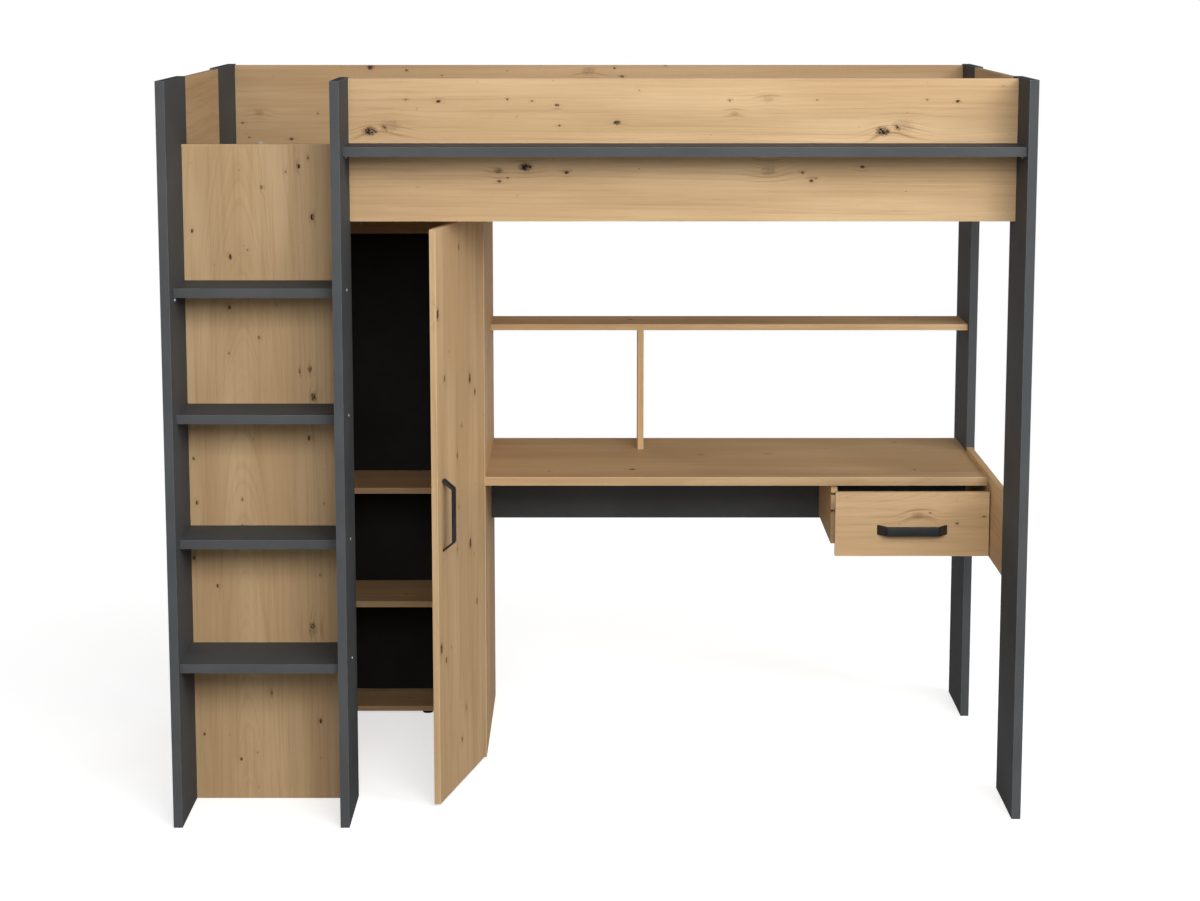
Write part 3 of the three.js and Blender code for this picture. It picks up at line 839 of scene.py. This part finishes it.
def add_cam_locks():
    """The faces of the cam locks that pull the boards together."""
    back = -FRONT
    places = cam_places("front_guard", back, X, (35 * MM, 120 * MM))
    places += cam_places("front_side_rail", back, X, (90 * MM, 150 * MM))
    places += cam_places("back_guard", FRONT, X, (124 * MM,), inset=66 * MM)
    places += cam_places("ladder_back_panel", back, X, (120 * MM, 800 * MM, 1480 * MM))
    places += cam_places("desk_modesty_panel", back, X, (45 * MM, 120 * MM))
    places += cam_places("desk_top", -UP, X, (50 * MM, 300 * MM, 520 * MM))
    places += cam_places("desk_shelf", -UP, X, (40 * MM, 130 * MM))
    places += cam_places("wardrobe_top", UP, X, (70 * MM, 500 * MM))
    places += cam_places("wardrobe_back_rail", FRONT, X, (30 * MM,))
    add_heads("cam_locks", places, cam(7.5 * MM, 0.9 * MM), "nickel", "bed_frame")


def add_slat_screws():
    """Two screws through each end of each slat into the battens."""
    from_end, from_side = 12 * MM, 28 * MM
    places = []
    for number in range(1, SLAT_COUNT + 1):
        low, high = corners(f"bed_slat_{number:02d}")
        for y in (low.y + from_end, high.y - from_end):
            for x in (low.x + from_side, high.x - from_side):
                places.append((Vector((x, y, high.z)), UP))
    add_heads("slat_screws", places, screw(4 * MM, 0.8 * MM), "brass", "bed_frame")


def add_batten_screws():
    """Screws through the two battens, on the sides that face the middle of the bed."""
    places = []
    for name, axis in (("front_batten", -FRONT), ("rear_batten", FRONT)):
        low, high = corners(name)
        y = high.y if axis.y > 0 else low.y
        for x in spread(low.x, high.x, count=8, margin=60 * MM):
            places.append((Vector((x, y, (low.z + high.z) / 2)), axis))
    add_heads("batten_screws", places, screw(4 * MM, 0.8 * MM), "brass", "bed_frame")


def add_shelf_pins():
    """Steel pins under the four corners of the wardrobe shelves."""
    radius, length, from_edge, below_shelf = 2.5 * MM, 9 * MM, 30 * MM, 2.6 * MM
    left = corners("wardrobe_left_side")[1].x
    right = corners("wardrobe_right_side")[0].x
    places = []
    for name in ("wardrobe_shelf_lower", "wardrobe_shelf_upper"):
        low, high = corners(name)
        z = low.z - below_shelf
        for y in (low.y + from_edge, high.y - from_edge):
            places.append((Vector((left, y, z)), RIGHT))
            places.append((Vector((right, y, z)), -RIGHT))
    add_heads("shelf_pins", places, button(radius, length), "steel", "bed_frame")


def add_back_nails():
    """Panel pins round the wardrobe's thin back."""
    from_side, from_end = 6 * MM, 7 * MM
    low, high = corners("wardrobe_back")
    places = []
    for z in spread(low.z, high.z, count=11, margin=20 * MM):
        for x in (low.x + from_side, high.x - from_side):
            places.append((Vector((x, high.y, z)), -FRONT))
    for x in spread(low.x, high.x, count=4, margin=70 * MM):
        for z in (low.z + from_end, high.z - from_end):
            places.append((Vector((x, high.y, z)), -FRONT))
    add_heads("back_nails", places, button(2 * MM, 0.7 * MM), "steel", "bed_frame")


def add_hinge_screws():
    """Screws of the hinge cups on the door, and of the arms' plates on the wardrobe's side."""
    inside = OAK_BOARD + CUP_FLANGE
    plate_from_back, plate_reach = 17 * MM, 18 * MM
    arm_screws_from_back = (12 * MM, 40 * MM)
    out = DOOR_FRAME.to_3x3() @ -FRONT
    on_door, on_side = [], []
    for number in range(1, HINGE_COUNT + 1):
        low, high = corners(f"door_hinge_cup_{number}")
        cup = DOOR_FRAME.inverted() @ ((low + high) / 2)
        for side in (-1, 1):
            spot = Vector((cup.x, inside, cup.z + side * CUP_SCREW_REACH))
            on_door.append((DOOR_FRAME @ spot, out))
        low, high = corners(f"door_hinge_arm_{number}")
        plate_face = high.x - ARM_PLATE_DEPTH
        middle_z = (low.z + high.z) / 2
        for side in (-1, 1):
            spot = Vector((plate_face, high.y - plate_from_back, middle_z + side * plate_reach))
            on_side.append((spot, -RIGHT))
        for from_back in arm_screws_from_back:
            on_side.append((Vector((low.x, high.y - from_back, middle_z)), -RIGHT))
    add_heads("hinge_cup_screws", on_door, screw(3.5 * MM, 1.2 * MM), "steel", "door")
    add_heads("hinge_plate_screws", on_side, screw(3.2 * MM, 1.2 * MM), "steel", "bed_frame")


def add_runner_details():
    """White rollers and screws of the drawer's two runners."""
    wheel_from_front, wheel_from_foot, wheel_from_back = 14 * MM, 8 * MM, 12 * MM
    screw_below_top, screw_margin = 6 * MM, 45 * MM
    on_frame, on_drawer, screws = [], [], []
    for side, inward in (("left", RIGHT), ("right", -RIGHT)):
        low, high = corners(f"drawer_channel_{side}")
        wall = low.x + CHANNEL_WALL if inward is RIGHT else high.x - CHANNEL_WALL
        on_frame.append((Vector((wall, low.y + wheel_from_front, low.z + wheel_from_foot)), inward))
        for y in spread(low.y, high.y, count=3, margin=screw_margin):
            screws.append((Vector((wall, y, high.z - screw_below_top)), inward))
        low, high = corners(f"drawer_rail_{side}")
        face = low.x if inward is RIGHT else high.x
        on_drawer.append((Vector((face, high.y - wheel_from_back, (low.z + high.z) / 2)), -inward))
    add_heads("runner_wheels_fixed", on_frame, button(7 * MM, 7 * MM), "white_plastic", "bed_frame")
    add_heads("runner_wheels_drawer", on_drawer, button(6 * MM, 1.5 * MM), "white_plastic", "drawer")
    add_heads("runner_screws", screws, screw(3 * MM, 0.9 * MM), "steel", "bed_frame")


def add_glides():
    """Black pads that the wardrobe's bottom rests on: one near its front edge and two at its back."""
    right_of_middle, from_front, from_corner, above_floor = 26 * MM, 22 * MM, 40 * MM, 0.5 * MM
    low, high = corners("wardrobe_bottom")
    drop = low.z - above_floor
    pad = [(12 * MM, 0.0, False), (14 * MM, 1.5 * MM, False), (14 * MM, drop, False), (6 * MM, drop, False)]
    middle = (low.x + high.x) / 2
    spots = [(middle + right_of_middle, low.y + from_front)]
    spots += [(x, high.y - from_corner) for x in (low.x + from_corner, high.x - from_corner)]
    places = [(Vector((x, y, low.z)), -UP) for x, y in spots]
    add_heads("wardrobe_glides", places, pad, "black_plastic", "bed_frame")


add_camera()
add_studio()
FINISH = {
    "steel": zinc("zinc_steel"),
    "nickel": zinc("satin_nickel", metallic=0.45),
    "brass": plastic("yellow_zinc", rgb(176, 148, 84), rgb(214, 186, 120)),
    "black_metal": black_metal(),
    "white_plastic": plastic("white_plastic", rgb(205, 205, 200), rgb(226, 226, 222)),
    "black_plastic": plastic("black_plastic", rgb(20, 20, 20), rgb(32, 32, 32)),
}
dress_boards()
dress_steel()
add_handles()
add_ladder_screws()
add_support_pegs()
add_cam_locks()
add_slat_screws()
add_batten_screws()
add_shelf_pins()
add_back_nails()
add_hinge_screws()
add_runner_details()
add_glides()
